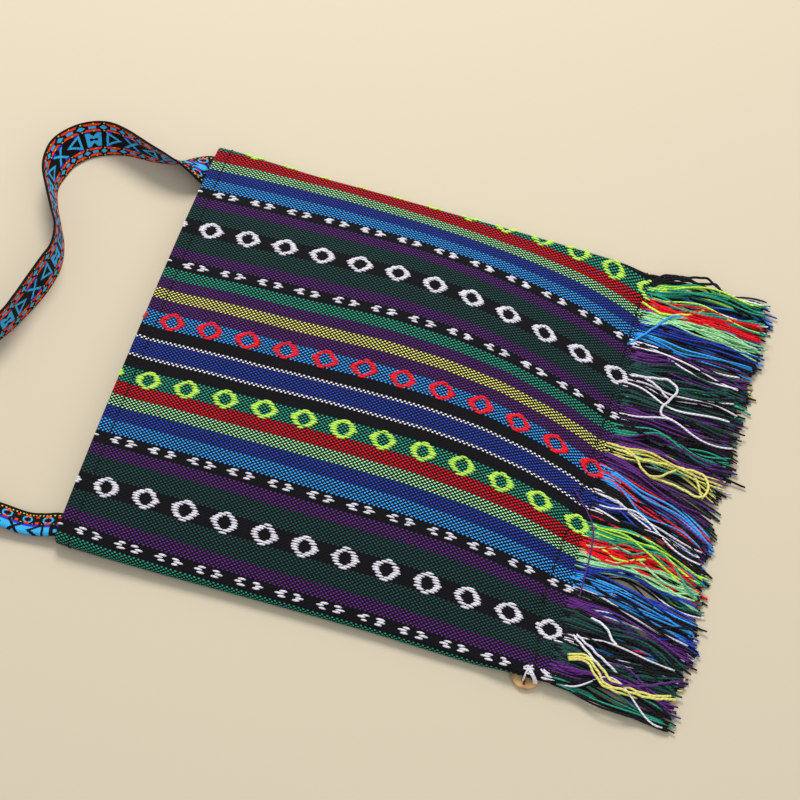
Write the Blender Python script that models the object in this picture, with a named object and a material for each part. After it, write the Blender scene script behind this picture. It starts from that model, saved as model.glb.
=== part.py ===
"""Woven shoulder bag lying flat: cloth tube body, fringe along its bottom seam, ribbon strap, wooden button.

Metres, +Z up. X runs along the stripes: the open mouth faces -X and the fringe points to +X.
The bag rests on z = 0 and the origin is under the middle of its body.
"""
import math

import bmesh
import bpy
from mathutils import Vector

# Cloth body
BODY_LENGTH = 0.252
BODY_WIDTH = 0.251
PUFF = 0.017
CLOTH = 0.0013
HEM_DEPTH = 0.0095
SEAM_ALLOWANCE = 0.0112
FOLD_STEPS = 5
SPAN_STEPS = 20
DOME_POWER = 2.6

# Fringe
FRINGE_LENGTH = 0.058
FRINGE_HEAD = 0.0024
LOCK_DRIFT_POWER = 1.4
LOCK_TAPER = 0.25
LOCK_TIP_WIDTH = 0.45
LOCK_STEPS = (0.10, 0.32, 0.58, 0.82, 1.0)
SWELL_SPAN = 1.1
SWELL_TURN = 0.8
SETTLE_RATE = 1.6

# Ribbon strap
STRAP_WIDTH = 0.020
STRAP_THICK = 0.0012
STRAP_STEPS = 128
ROUTE_STEPS = 16
FOLD_BEND = 2.67 * STRAP_THICK
FOLD_SAMPLES = 40
FOLD_STOPS = (0.0, 0.08, 0.16, 0.24, 0.32, 0.55, 1.0)

# Wooden button
BUTTON_DIAMETER = 0.015
BUTTON_THICK = 0.0024
SLOT_LENGTH = 0.0030
SLOT_WIDTH = 0.0011
BUTTON_TUCK = 0.0027
BUTTON_ALONG = 0.0146

BUTTON_RIM = 0.25 * BUTTON_THICK
BUTTON_SIDES = 32

# Space kept between pieces that touch
GAP = 0.0003

MOUTH_X = -BODY_LENGTH / 2
WEAVE_END_X = BODY_LENGTH / 2
HEM_INNER = 2 * CLOTH

# The near corner of the bag lies on the button: how much it gains, how far in it is level, how far it falls
LIFT = BUTTON_THICK + 2 * GAP
LIFT_MARGIN = 0.001
LIFT_FLAT = BUTTON_TUCK + BUTTON_DIAMETER / 2 + LIFT_MARGIN
LIFT_RUN = 0.016

# One row for each section from the mouth to the end of the weave.
# along: share of BODY_LENGTH; near, far: the two folds, shares of BODY_WIDTH;
# crown, fold: height in the middle and at the folds, shares of PUFF; lift: share of LIFT at the near fold
SECTIONS = (
    # along, near, far, crown, fold, lift
    (0.000, -0.478, 0.518, 0.90, 0.60, 0.0),
    (0.040, -0.480, 0.517, 0.87, 0.59, 0.0),
    (0.110, -0.482, 0.513, 0.96, 0.52, 0.0),
    (0.220, -0.483, 0.506, 1.00, 0.44, 0.0),
    (0.360, -0.483, 0.502, 1.00, 0.39, 0.0),
    (0.500, -0.484, 0.495, 0.96, 0.37, 0.0),
    (0.640, -0.486, 0.489, 0.86, 0.35, 0.0),
    (0.760, -0.491, 0.482, 0.70, 0.33, 0.0),
    (0.850, -0.494, 0.477, 0.50, 0.30, 0.0),
    (0.900, -0.495, 0.474, 0.37, 0.26, 0.9),
    (0.935, -0.495, 0.470, 0.27, 0.22, 1.0),
    (0.956, -0.495, 0.465, 0.19, 0.17, 1.0),
    (1.000, -0.494, 0.457, 0.21, 0.19, 1.0),
)

# One row for each bend of the strap, from the far corner of the mouth round to the near corner.
# out: how far beyond the mouth, and side: across the bag, both shares of BODY_WIDTH;
# lean: turn of the ribbon about its run in degrees, -90 on its edge and 0 or -180 flat;
# curl: how far the outer half is folded under, in degrees; seat: 1 on the hem inside the mouth, 0 on the table
STRAP_ROUTE = (
    # out, side, lean, curl, seat
    (-0.056, 0.452, -180, 0, 1.0),
    (-0.020, 0.456, -180, 0, 1.0),
    (0.008, 0.458, -178, 0, 1.0),
    (0.040, 0.456, -150, 0, 0.4),
    (0.084, 0.450, -117, 0, 0.0),
    (0.135, 0.454, -99, 0, 0.0),
    (0.195, 0.465, -82, 0, 0.0),
    (0.251, 0.465, -60, 0, 0.0),
    (0.294, 0.446, -51, 0, 0.0),
    (0.322, 0.410, -53, 0, 0.0),
    (0.328, 0.370, -63, 0, 0.0),
    (0.324, 0.328, -76, 0, 0.0),
    (0.304, 0.285, -82, 0, 0.0),
    (0.274, 0.234, -84, 0, 0.0),
    (0.250, 0.192, -86, 0, 0.0),
    (0.238, 0.144, -84, 0, 0.0),
    (0.242, 0.103, -78, 0, 0.0),
    (0.251, 0.053, -78, 0, 0.0),
    (0.263, 0.004, -84, 0, 0.0),
    (0.279, -0.046, -89, 0, 0.0),
    (0.318, -0.108, -90, 0, 0.0),
    (0.400, -0.166, -90, 0, 0.0),
    (0.550, -0.180, -90, 0, 0.0),
    (0.735, -0.130, -90, 0, 0.0),
    (0.930, -0.088, -90, 0, 0.0),
    (1.125, -0.120, -88, 0, 0.0),
    (1.275, -0.240, -86, 0, 0.0),
    (1.338, -0.420, -86, 0, 0.0),
    (1.275, -0.600, -86, 0, 0.0),
    (1.125, -0.725, -86, 0, 0.0),
    (0.925, -0.760, -88, 0, 0.0),
    (0.715, -0.705, -88, 0, 0.0),
    (0.520, -0.590, -84, 0, 0.0),
    (0.370, -0.500, -66, 30, 0.0),
    (0.255, -0.463, -34, 90, 0.0),
    (0.145, -0.466, -12, 150, 0.0),
    (0.075, -0.470, -4, 168, 0.0),
    (0.032, -0.465, -1, 172, 0.5),
    (0.004, -0.459, 0, 172, 1.0),
    (-0.020, -0.457, 0, 172, 1.0),
    (-0.056, -0.455, 0, 172, 1.0),
)

# One row for each lock of the fringe, from the near fold to the far fold.
# drift: how far the tip lies to the side, and reach: the lock's length, shares of FRINGE_LENGTH;
# full: width in its middle, share of its cell; arch: height of its middle, share of PUFF; tip: height of its tip
LOCKS = (
    # drift, reach, full, arch, tip
    (-0.10, 0.95, 0.70, 0.30, 0.12),
    (-0.12, 0.93, 0.78, 0.32, 0.12),
    (-0.06, 0.96, 0.80, 0.26, 0.12),
    (-0.13, 0.86, 0.80, 0.30, 0.13),
    (-0.22, 0.98, 0.74, 0.28, 0.12),
    (-0.18, 1.00, 0.70, 0.24, 0.12),
    (-0.16, 0.97, 0.76, 0.26, 0.12),
    (-0.17, 0.94, 0.76, 0.28, 0.12),
    (-0.20, 0.93, 0.80, 0.33, 0.13),
    (-0.22, 0.95, 0.82, 0.36, 0.14),
    (-0.27, 0.93, 0.74, 0.34, 0.13),
    (-0.33, 0.91, 0.70, 0.28, 0.12),
    (-0.38, 0.90, 0.66, 0.24, 0.12),
    (-0.42, 0.92, 0.62, 0.26, 0.12),
    (-0.30, 0.93, 0.72, 0.30, 0.12),
    (-0.15, 0.95, 0.80, 0.36, 0.13),
    (-0.08, 0.97, 0.82, 0.40, 0.14),
    (-0.07, 0.96, 0.78, 0.30, 0.12),
    (-0.06, 0.95, 0.76, 0.26, 0.12),
    (-0.05, 0.96, 0.80, 0.26, 0.12),
    (-0.05, 0.97, 0.80, 0.28, 0.12),
    (-0.06, 0.96, 0.76, 0.28, 0.12),
    (-0.08, 0.97, 0.78, 0.32, 0.12),
    (-0.10, 0.98, 0.80, 0.34, 0.13),
    (-0.09, 0.99, 0.80, 0.36, 0.14),
    (-0.05, 0.98, 0.82, 0.40, 0.14),
    (-0.02, 1.00, 0.82, 0.42, 0.14),
    (-0.01, 0.99, 0.78, 0.36, 0.13),
)

# Section of a lock: shares of its width and of its height
LOCK_SECTION = ((-0.5, 0.15), (0.0, 0.0), (0.5, 0.15), (0.5, 0.72), (0.0, 1.0), (-0.5, 0.72))


def clear_scene():
    for item in list(bpy.data.objects):
        bpy.data.objects.remove(item, do_unlink=True)


def make_material(name, colour, roughness):
    material = bpy.data.materials.new(name)
    material.use_nodes = True
    shader = material.node_tree.nodes["Principled BSDF"]
    shader.inputs["Base Color"].default_value = (*colour, 1.0)
    shader.inputs["Roughness"].default_value = roughness
    shader.inputs["Metallic"].default_value = 0.0
    return material


def add_object(name, mesh_builder, material):
    mesh = bpy.data.meshes.new(name)
    bmesh.ops.recalc_face_normals(mesh_builder, faces=mesh_builder.faces[:])
    mesh_builder.to_mesh(mesh)
    mesh_builder.free()
    mesh.materials.append(material)
    item = bpy.data.objects.new(name, mesh)
    bpy.context.scene.collection.objects.link(item)
    return item


def smooth_step(value):
    value = min(max(value, 0.0), 1.0)
    return value * value * (3 - 2 * value)


def table_row(table, along):
    """Row of a table at a share along, straight between its two neighbours."""
    for low, high in zip(table, table[1:]):
        if along <= high[0]:
            mix = (along - low[0]) / (high[0] - low[0])
            return [a + (b - a) * mix for a, b in zip(low, high)]
    return list(table[-1])


def cloth_lift(y, near, lift):
    """Height that the near corner gains where it lies on the button."""
    return lift * (1 - smooth_step((y - near - LIFT_FLAT) / LIFT_RUN))


def body_section(along, inset):
    """Closed loop of the cloth tube at a share along the body, set in by inset."""
    _, near, far, crown, fold, lift = table_row(SECTIONS, along)
    near *= BODY_WIDTH
    far *= BODY_WIDTH
    crown *= PUFF
    fold *= PUFF
    lift *= LIFT
    radius = fold / 2
    small = radius - inset
    middle = (near + far) / 2
    half = (far - near) / 2 - radius
    loop = []
    for step in range(FOLD_STEPS):
        angle = -math.pi / 2 - math.pi * step / FOLD_STEPS
        loop.append((near + radius + small * math.cos(angle), radius + small * math.sin(angle)))
    for step in range(SPAN_STEPS):
        share = -math.cos(math.pi * step / SPAN_STEPS)
        dome = (crown - fold) * (1 - abs(share) ** DOME_POWER)
        loop.append((middle + half * share, fold - inset + dome))
    for step in range(FOLD_STEPS):
        angle = math.pi / 2 - math.pi * step / FOLD_STEPS
        loop.append((far - radius + small * math.cos(angle), radius + small * math.sin(angle)))
    for step in range(SPAN_STEPS):
        share = math.cos(math.pi * step / SPAN_STEPS)
        loop.append((middle + half * share, inset))
    x = MOUTH_X + along * BODY_LENGTH
    return [(x, y, z + cloth_lift(y, near, lift)) for y, z in loop]


def add_ring(mesh_builder, points):
    return [mesh_builder.verts.new(point) for point in points]


def bridge(mesh_builder, first, second):
    count = len(first)
    for index in range(count):
        after = (index + 1) % count
        mesh_builder.faces.new((first[index], first[after], second[after], second[index]))


def build_bag_body(material):
    """Hollow cloth tube: hem at the open mouth, closed at the bottom seam, flat allowance beyond it."""
    mesh_builder = bmesh.new()
    hem = HEM_DEPTH / BODY_LENGTH
    hem_step = CLOTH / BODY_LENGTH
    pocket_end = 1 - (SEAM_ALLOWANCE + 2 * CLOTH) / BODY_LENGTH
    outer = [add_ring(mesh_builder, body_section(row[0], 0.0)) for row in SECTIONS]
    inner = [add_ring(mesh_builder, body_section(along, HEM_INNER)) for along in (0.0, hem)]
    first, last = hem + hem_step, pocket_end - hem_step
    depths = [first] + [row[0] for row in SECTIONS if first < row[0] < last]
    inner += [add_ring(mesh_builder, body_section(along, CLOTH)) for along in depths + [pocket_end]]
    for first, second in zip(outer, outer[1:]):
        bridge(mesh_builder, first, second)
    for first, second in zip(inner, inner[1:]):
        bridge(mesh_builder, first, second)
    bridge(mesh_builder, outer[0], inner[0])
    mesh_builder.faces.new(outer[-1])
    mesh_builder.faces.new(inner[-1])
    return add_object("bag_body", mesh_builder, material)


def build_fringe_head(mesh_builder, start_x, head_x, edges, thick, lift):
    """Strip along the end of the weave, open towards the locks; returns its front edge as columns."""

    def column(x, y):
        base = cloth_lift(y, edges[0], lift) + GAP
        return (mesh_builder.verts.new((x, y, base)), mesh_builder.verts.new((x, y, base + thick)))

    back = [column(start_x, y) for y in edges]
    front = [column(head_x, y) for y in edges]
    for (b0, b1), (b2, b3), (f0, f1), (f2, f3) in zip(back, back[1:], front, front[1:]):
        mesh_builder.faces.new((b0, b1, b3, b2))
        mesh_builder.faces.new((b1, f1, f3, b3))
        mesh_builder.faces.new((b0, b2, f2, f0))
    mesh_builder.faces.new((back[0][0], front[0][0], front[0][1], back[0][1]))
    mesh_builder.faces.new((back[-1][0], back[-1][1], front[-1][1], front[-1][0]))
    return front


def draw_lock(mesh_builder, columns, lock, head_x, cell, thick):
    """Lock of yarn that grows out of three columns of the heading and comes down to the table."""
    drift, reach, full, arch, tip = lock
    left, centre, right = columns
    ring = [left[0], centre[0], right[0], right[1], centre[1], left[1]]
    middle = centre[0].co.y
    root_z = centre[0].co.z
    for share in LOCK_STEPS:
        at_tip = share == LOCK_STEPS[-1]
        x = head_x + reach * FRINGE_LENGTH * share
        y = middle + drift * FRINGE_LENGTH * share ** LOCK_DRIFT_POWER
        swell = math.sin(math.pi * min(share * SWELL_SPAN, 1.0) * SWELL_TURN)
        wide = cell * (LOCK_TIP_WIDTH if at_tip else full) * (1 - LOCK_TAPER * share)
        high = tip * PUFF if at_tip else thick + (arch * PUFF - thick) * swell
        low = GAP + (root_z - GAP) * (1 - smooth_step(share * SETTLE_RATE))
        ring_next = [mesh_builder.verts.new((x, y + a * wide, low + b * high)) for a, b in LOCK_SECTION]
        bridge(mesh_builder, ring, ring_next)
        ring = ring_next
    mesh_builder.faces.new(ring)


def build_fringe(material):
    """Head along the end of the weave with one lock of yarn drawn out of each of its cells."""
    mesh_builder = bmesh.new()
    _, near, far, _, fold, lift = SECTIONS[-1]
    thick = fold * PUFF
    near = near * BODY_WIDTH + thick / 2
    far = far * BODY_WIDTH - thick / 2
    cell = (far - near) / len(LOCKS)
    start_x = WEAVE_END_X + GAP
    head_x = start_x + FRINGE_HEAD
    edges = [near + cell * index / 2 for index in range(2 * len(LOCKS) + 1)]
    front = build_fringe_head(mesh_builder, start_x, head_x, edges, thick, lift * LIFT)
    for index, lock in enumerate(LOCKS):
        draw_lock(mesh_builder, front[2 * index:2 * index + 3], lock, head_x, cell, thick)
    return add_object("fringe", mesh_builder, material)


def spline_row(table, place):
    """Row of a table at a running row number, on a smooth curve through its rows."""
    index = min(int(place), len(table) - 2)
    mix = place - index
    rows = [table[min(max(index + offset, 0), len(table) - 1)] for offset in (-1, 0, 1, 2)]
    result = []
    for before, start, end, after in zip(*rows):
        slope_in = (end - before) / 2
        slope_out = (after - start) / 2
        square = mix * mix
        cube = square * mix
        result.append(
            (2 * cube - 3 * square + 1) * start
            + (cube - 2 * square + mix) * slope_in
            + (3 * square - 2 * cube) * end
            + (cube - square) * slope_out
        )
    return result


def ribbon_profile(curl):
    """Centre line of the ribbon's section as (across, up, turn), its outer half folded under by curl."""
    half = STRAP_WIDTH / 2
    piece = half / FOLD_SAMPLES
    samples = [(0.0, 0.0, 0.0)]
    across = up = 0.0
    for index in range(FOLD_SAMPLES):
        turn = math.radians(curl) * min((index + 0.5) * piece / FOLD_BEND, 1.0)
        across -= piece * math.cos(turn)
        up -= piece * math.sin(turn)
        samples.append((across, up, turn))
    outer = [samples[round(stop * FOLD_SAMPLES)] for stop in FOLD_STOPS]
    return [(half, 0.0, 0.0), (half / 2, 0.0, 0.0)] + outer


def strap_stations():
    """Centre, across direction, up direction and profile at even steps along the strap."""
    fine = ROUTE_STEPS * (len(STRAP_ROUTE) - 1)
    rows = [spline_row(STRAP_ROUTE, place / ROUTE_STEPS) for place in range(fine + 1)]
    points = [Vector((MOUTH_X - row[0] * BODY_WIDTH, row[1] * BODY_WIDTH, 0.0)) for row in rows]
    runs = [0.0]
    for first, second in zip(points, points[1:]):
        runs.append(runs[-1] + (second - first).length)
    stations = []
    cursor = 0
    for step in range(STRAP_STEPS + 1):
        target = runs[-1] * step / STRAP_STEPS
        while cursor < fine - 1 and runs[cursor + 1] < target:
            cursor += 1
        mix = (target - runs[cursor]) / (runs[cursor + 1] - runs[cursor])
        row = [a + (b - a) * mix for a, b in zip(rows[cursor], rows[cursor + 1])]
        centre = points[cursor].lerp(points[cursor + 1], mix)
        ahead = points[min(cursor + 3, fine)] - points[max(cursor - 2, 0)]
        ahead.normalize()
        side = Vector((0, 0, 1)).cross(ahead)
        lean = math.radians(row[2])
        across = side * math.cos(lean) + Vector((0, 0, 1)) * math.sin(lean)
        up = ahead.cross(across)
        stations.append((centre, across, up, row[3], row[4]))
    return stations


def strap_ring(centre, across, up, curl, seat):
    """Section of the strap in space, its lowest point on the table or on the hem inside the mouth."""
    half = STRAP_THICK / 2
    top = []
    bottom = []
    for a, b, turn in ribbon_profile(curl):
        normal = (-math.sin(turn), math.cos(turn))
        top.append(centre + across * (a + half * normal[0]) + up * (b + half * normal[1]))
        bottom.append(centre + across * (a - half * normal[0]) + up * (b - half * normal[1]))
    ring = top + bottom[::-1]
    base = max(min(seat, 1.0), 0.0) * (HEM_INNER + 1.5 * GAP)
    shift = base - min(point.z for point in ring)
    return [point + Vector((0, 0, shift)) for point in ring]


def build_strap(material):
    """One woven ribbon: both ends inside the corners of the mouth, the loop standing on its edge."""
    mesh_builder = bmesh.new()
    rings = [add_ring(mesh_builder, strap_ring(*station)) for station in strap_stations()]
    for first, second in zip(rings, rings[1:]):
        bridge(mesh_builder, first, second)
    mesh_builder.faces.new(rings[0])
    mesh_builder.faces.new(rings[-1])
    return add_object("strap", mesh_builder, material)


def cut_slot(item, shift):
    """Cut one thread slot through the button, shifted from its middle."""
    mesh_builder = bmesh.new()
    bmesh.ops.create_cube(mesh_builder, size=1.0)
    size = Vector((SLOT_WIDTH, SLOT_LENGTH, 2 * BUTTON_THICK))
    bmesh.ops.scale(mesh_builder, vec=size, verts=mesh_builder.verts[:])
    bmesh.ops.translate(mesh_builder, vec=shift, verts=mesh_builder.verts[:])
    mesh = bpy.data.meshes.new("slot_cut")
    mesh_builder.to_mesh(mesh)
    mesh_builder.free()
    cutter = bpy.data.objects.new("slot_cut", mesh)
    bpy.context.scene.collection.objects.link(cutter)
    cutter.location = item.location
    cut = item.modifiers.new("slot", "BOOLEAN")
    cut.operation = "DIFFERENCE"
    cut.solver = "EXACT"
    cut.object = cutter
    bpy.context.view_layer.update()
    apply_modifiers(item)
    bpy.data.objects.remove(cutter, do_unlink=True)


def build_button(material):
    """Wooden disc with two slots, its back part under the lifted near corner of the bag."""
    mesh_builder = bmesh.new()
    radius = BUTTON_DIAMETER / 2
    bmesh.ops.create_cone(
        mesh_builder, cap_ends=True, segments=BUTTON_SIDES, radius1=radius, radius2=radius, depth=BUTTON_THICK
    )
    item = add_object("button", mesh_builder, material)
    near_at_button = table_row(SECTIONS, 1 - BUTTON_ALONG / BODY_LENGTH)[1] * BODY_WIDTH
    item.location = (WEAVE_END_X - BUTTON_ALONG, near_at_button + BUTTON_TUCK, BUTTON_THICK / 2)
    bevel = item.modifiers.new("rim", "BEVEL")
    bevel.width = BUTTON_RIM
    bevel.segments = 2
    bevel.limit_method = "ANGLE"
    for sign in (-1, 1):
        cut_slot(item, Vector((0, sign * (radius - SLOT_LENGTH), 0)))
    return item


def apply_modifiers(item):
    """Keep the evaluated mesh, so that no cutter has to stay in the scene."""
    depsgraph = bpy.context.evaluated_depsgraph_get()
    mesh = bpy.data.meshes.new_from_object(item.evaluated_get(depsgraph))
    item.modifiers.clear()
    item.data = mesh


def build():
    clear_scene()
    cloth = make_material("striped_cloth", (0.05, 0.06, 0.12), 0.9)
    yarn = make_material("fringe_yarn", (0.12, 0.12, 0.22), 0.85)
    ribbon = make_material("strap_ribbon", (0.10, 0.16, 0.30), 0.75)
    wood = make_material("button_wood", (0.55, 0.38, 0.20), 0.6)
    build_bag_body(cloth)
    build_fringe(yarn)
    build_strap(ribbon)
    build_button(wood)


build()
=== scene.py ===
"""Looks of the woven shoulder bag: striped cloth with raised floats, fringe, ribbon strap and button.

Metres, +Z up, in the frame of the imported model: X runs along the stripes from the mouth to the fringe,
Y across the bag to its far fold, and the bag lies on z = 0.
"""
import itertools
import math

import bpy
import numpy as np
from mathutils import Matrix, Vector


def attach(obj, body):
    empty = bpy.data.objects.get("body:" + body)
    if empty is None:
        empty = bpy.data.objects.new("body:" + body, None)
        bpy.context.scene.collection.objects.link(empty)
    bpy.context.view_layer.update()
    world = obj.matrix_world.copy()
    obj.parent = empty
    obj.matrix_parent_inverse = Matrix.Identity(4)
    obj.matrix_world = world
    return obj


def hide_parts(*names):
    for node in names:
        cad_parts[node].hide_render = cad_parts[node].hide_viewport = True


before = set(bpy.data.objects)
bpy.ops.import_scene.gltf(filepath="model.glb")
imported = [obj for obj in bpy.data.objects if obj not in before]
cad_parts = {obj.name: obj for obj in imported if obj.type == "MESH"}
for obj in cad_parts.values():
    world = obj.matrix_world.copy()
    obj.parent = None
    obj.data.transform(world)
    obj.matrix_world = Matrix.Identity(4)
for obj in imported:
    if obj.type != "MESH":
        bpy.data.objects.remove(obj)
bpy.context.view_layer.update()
BODY = "root"
MM = 0.001

# Camera at the photograph's angle
CAMERA_TARGET = Vector((0.013, 0.006, 0.0))
CAMERA_AZIMUTH = 16.0
CAMERA_ELEVATION = 60.0
CAMERA_DISTANCE = 0.923
CAMERA_LENS = 81.0
CAMERA_SENSOR = 36.0

# Cloth body, the same sizes as the solid
BODY_LENGTH = 0.252
BODY_WIDTH = 0.251
PUFF = 0.017
CLOTH = 0.0013
HEM_DEPTH = 0.0095
SEAM_ALLOWANCE = 0.0112
DOME_POWER = 2.6
GAP = 0.0003
BUTTON_DIAMETER = 0.015
BUTTON_THICK = 0.0024
BUTTON_TUCK = 0.0027
LIFT = BUTTON_THICK + 2 * GAP
LIFT_MARGIN = 0.001
LIFT_FLAT = BUTTON_TUCK + BUTTON_DIAMETER / 2 + LIFT_MARGIN
LIFT_RUN = 0.016
MOUTH_X = -BODY_LENGTH / 2
WEAVE_END_X = BODY_LENGTH / 2
HEM_INNER = 2 * CLOTH
HEM_LINE = 0.0076

# Sections of the body as in the solid: near and far folds as shares of BODY_WIDTH,
# crown and fold heights as shares of PUFF, lift over the button as a share of LIFT
SECTIONS = np.array((
    # along, near, far, crown, fold, lift
    (0.000, -0.478, 0.518, 0.90, 0.60, 0.0),
    (0.040, -0.480, 0.517, 0.87, 0.59, 0.0),
    (0.110, -0.482, 0.513, 0.96, 0.52, 0.0),
    (0.220, -0.483, 0.506, 1.00, 0.44, 0.0),
    (0.360, -0.483, 0.502, 1.00, 0.39, 0.0),
    (0.500, -0.484, 0.495, 0.96, 0.37, 0.0),
    (0.640, -0.486, 0.489, 0.86, 0.35, 0.0),
    (0.760, -0.491, 0.482, 0.70, 0.33, 0.0),
    (0.850, -0.494, 0.477, 0.50, 0.30, 0.0),
    (0.900, -0.495, 0.474, 0.37, 0.26, 0.9),
    (0.935, -0.495, 0.470, 0.27, 0.22, 1.0),
    (0.956, -0.495, 0.465, 0.19, 0.17, 1.0),
    (1.000, -0.494, 0.457, 0.21, 0.19, 1.0),
))

# Where the rows of the pattern lie on the top of the bag, in mm across it, at shares of its length.
# The columns are rows of the pattern: far red stripe, far white diamonds, red diamonds,
# yellow-green diamonds, near white diamonds, near row of arrow heads
ROW_STRIPES = (0.0, 53.6, 113.6, 149.8, 211.6, 236.1)
ROW_DRIFT = np.array((
    # along, far red, far white, red, yellow-green, near white, near arrows
    (0.00, 121.0, 70.5, 10.0, -26.0, -88.0, -112.0),
    (0.10, 122.5, 70.0, 9.0, -27.0, -88.5, -114.0),
    (0.30, 123.0, 71.0, 8.5, -27.0, -90.0, -115.5),
    (0.50, 119.0, 72.0, 9.5, -27.0, -92.0, -116.5),
    (0.62, 115.5, 69.5, 9.0, -27.0, -92.0, -117.0),
    (0.74, 111.5, 63.0, 7.0, -29.0, -93.0, -118.5),
    (0.84, 107.0, 57.0, 2.0, -32.0, -95.0, -119.5),
    (0.92, 101.0, 52.0, -3.5, -36.5, -96.5, -121.0),
    (1.00, 94.0, 47.0, -10.5, -42.0, -98.5, -122.0),
))

# Weave: one warp row every WARP_PITCH mm across, one dot of it every DOT_PITCH mm along
STRIPE_REPEAT = 158.0
WARP_PITCH = STRIPE_REPEAT / 168
DOT_PITCH = 2.4
COLUMN_PITCH = 20.6
FIRST_COLUMN = 16.0
FAR_SHIFT = 5.0
FAR_SQUEEZE = 0.86


def srgb(red, green, blue):
    """Linear colour from the 0-255 values of a screen colour."""
    def linear(value):
        value /= 255
        return value / 12.92 if value <= 0.04045 else ((value + 0.055) / 1.055) ** 2.4
    return (linear(red), linear(green), linear(blue), 1.0)


BLACK = srgb(15, 13, 17)
RED = srgb(236, 16, 34)
DIAMOND_RED = srgb(248, 34, 50)
LIGHT_GREEN = srgb(166, 228, 166)
ROYAL_BLUE = srgb(40, 70, 184)
LIGHT_BLUE = srgb(56, 164, 250)
PURPLE = srgb(98, 42, 126)
DARK_GREEN = srgb(30, 79, 72)
TEAL = srgb(44, 160, 130)
YELLOW = srgb(232, 226, 124)
LIME = srgb(196, 255, 76)
DIAMOND_LIME = srgb(204, 252, 100)
WHITE = srgb(238, 234, 244)

# Stripes of one repeat in order from the far side, each from the place where it starts, in mm
STRIPES = (
    (-3.5, RED), (3.5, LIGHT_GREEN), (10.2, ROYAL_BLUE), (17.6, LIGHT_BLUE), (25.2, BLACK), (31.8, PURPLE),
    (38.4, DARK_GREEN), (48.9, BLACK), (58.2, DARK_GREEN), (68.2, PURPLE), (74.8, BLACK), (81.4, TEAL),
    (88.0, PURPLE), (94.5, YELLOW), (101.0, PURPLE), (109.0, LIGHT_BLUE), (118.2, BLACK), (124.6, WHITE),
    (126.6, ROYAL_BLUE), (135.8, WHITE), (137.8, BLACK), (145.0, TEAL),
)

# Rows of raised floats of one repeat: middle in mm, colour
DIAMOND_ROWS = ((53.6, WHITE), (113.6, DIAMOND_RED), (149.8, DIAMOND_LIME))
ARROW_ROWS = ((28.4, WHITE), (78.1, WHITE))
FLOAT_PITCH = 1.2
FLOAT_RADIUS = 0.59
# Diamond, by rows from its middle: start and end of its floats to each side, in mm
DIAMOND_FLOATS = ((3.2, 7.2), (2.8, 6.5), (1.8, 5.5), (0.0, 4.2), (-2.0, 2.1))
# Arrow head that points to -X, by rows: offset across, start and end along, in mm
ARROW_FLOATS = ((-1.3, -1.1, 2.6), (0.0, -2.9, 1.3), (1.3, -1.1, 2.6))
ARROW_SHIFT = 4.3


def smooth(value):
    """0 below 0, 1 above 1, soft between."""
    value = np.clip(value, 0.0, 1.0)
    return value * value * (3 - 2 * value)


def run_along(points):
    """Way along a line of points to each of them."""
    return np.concatenate(((0.0,), np.cumsum(np.linalg.norm(np.diff(points, axis=0), axis=1))))


def rows_at(places, runs, table):
    """Rows of a table at places along its runs, straight between them."""
    return np.stack([np.interp(places, runs, column) for column in np.transpose(table)], axis=-1)


SOFT_STEPS = 253
SOFT_REACH = 7


def table_at(table, along):
    """Rows of a table at shares along, straight between its rows and then softened."""
    fine = np.linspace(0, 1, SOFT_STEPS)
    kernel = np.exp(-np.linspace(-2, 2, 2 * SOFT_REACH + 1) ** 2)
    kernel /= kernel.sum()
    columns = []
    for column in table.T[1:]:
        values = np.interp(fine, table[:, 0], column)
        before = 2 * values[0] - values[SOFT_REACH:0:-1]
        after = 2 * values[-1] - values[-2:-2 - SOFT_REACH:-1]
        soft = np.convolve(np.concatenate((before, values, after)), kernel, "valid")
        columns.append(np.interp(along, fine, soft))
    return np.stack(columns, axis=-1)


def cloth_lift(y, near, lift):
    """Rise of the cloth at y, over the button by its near fold."""
    return lift * (1 - smooth((y - near - LIFT_FLAT) / LIFT_RUN))


# Bottom seam, which wanders across the bag, as (y, x) in m
SEAM_LINE = (
    (-0.118, 0.1145), (-0.081, 0.1100), (-0.019, 0.1145), (0.034, 0.1170), (0.066, 0.1175), (0.097, 0.1185),
)
# Depths and heights of the waves in mm, widths in m
HEM_DEEP = 0.30
HEM_WIDE = 0.0011
SEAM_DEEP = 1.05
SEAM_WIDE = 0.0017
PUCKER_HIGH = 0.42
PUCKER_WIDE = 0.009


def seam_line(y):
    """x of the bottom seam."""
    return np.interp(y, *zip(*SEAM_LINE))


def cloth_relief(x, y):
    """Small waves of the lying cloth: soft billows, the stitched hem and puckers at the bottom seam."""
    billow = 0.35 * np.sin(x * 61 + 1.3 * np.sin(y * 47)) * np.sin(y * 53 + 0.8 + 1.1 * np.sin(x * 38))
    billow += 0.16 * np.sin(x * 142 + y * 64 + 2.0) * np.sin(y * 171 - x * 55)
    inward = x - MOUTH_X - HEM_LINE
    hem = -HEM_DEEP * np.exp(-(inward / HEM_WIDE) ** 2)
    hem += 0.10 * np.sin(y * 820) * np.exp(-(inward / 0.0030) ** 2)
    away = x - seam_line(y)
    seam = -SEAM_DEEP * np.exp(-(away / SEAM_WIDE) ** 2)
    pucker = PUCKER_HIGH * np.sin(y * 690 + 2 * np.sin(y * 91)) * np.exp(-np.abs(away) / PUCKER_WIDE)
    pucker *= 1 - np.exp(-(away / 0.0016) ** 2)
    ease = smooth((x - MOUTH_X) / 0.012)
    return (billow * (0.4 + 0.6 * ease) + hem + seam + pucker) * MM


FOLD_STEPS = 12
TOP_STEPS = 170
BOTTOM_STEPS = 26
SIDE_SEAM = 0.30


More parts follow.
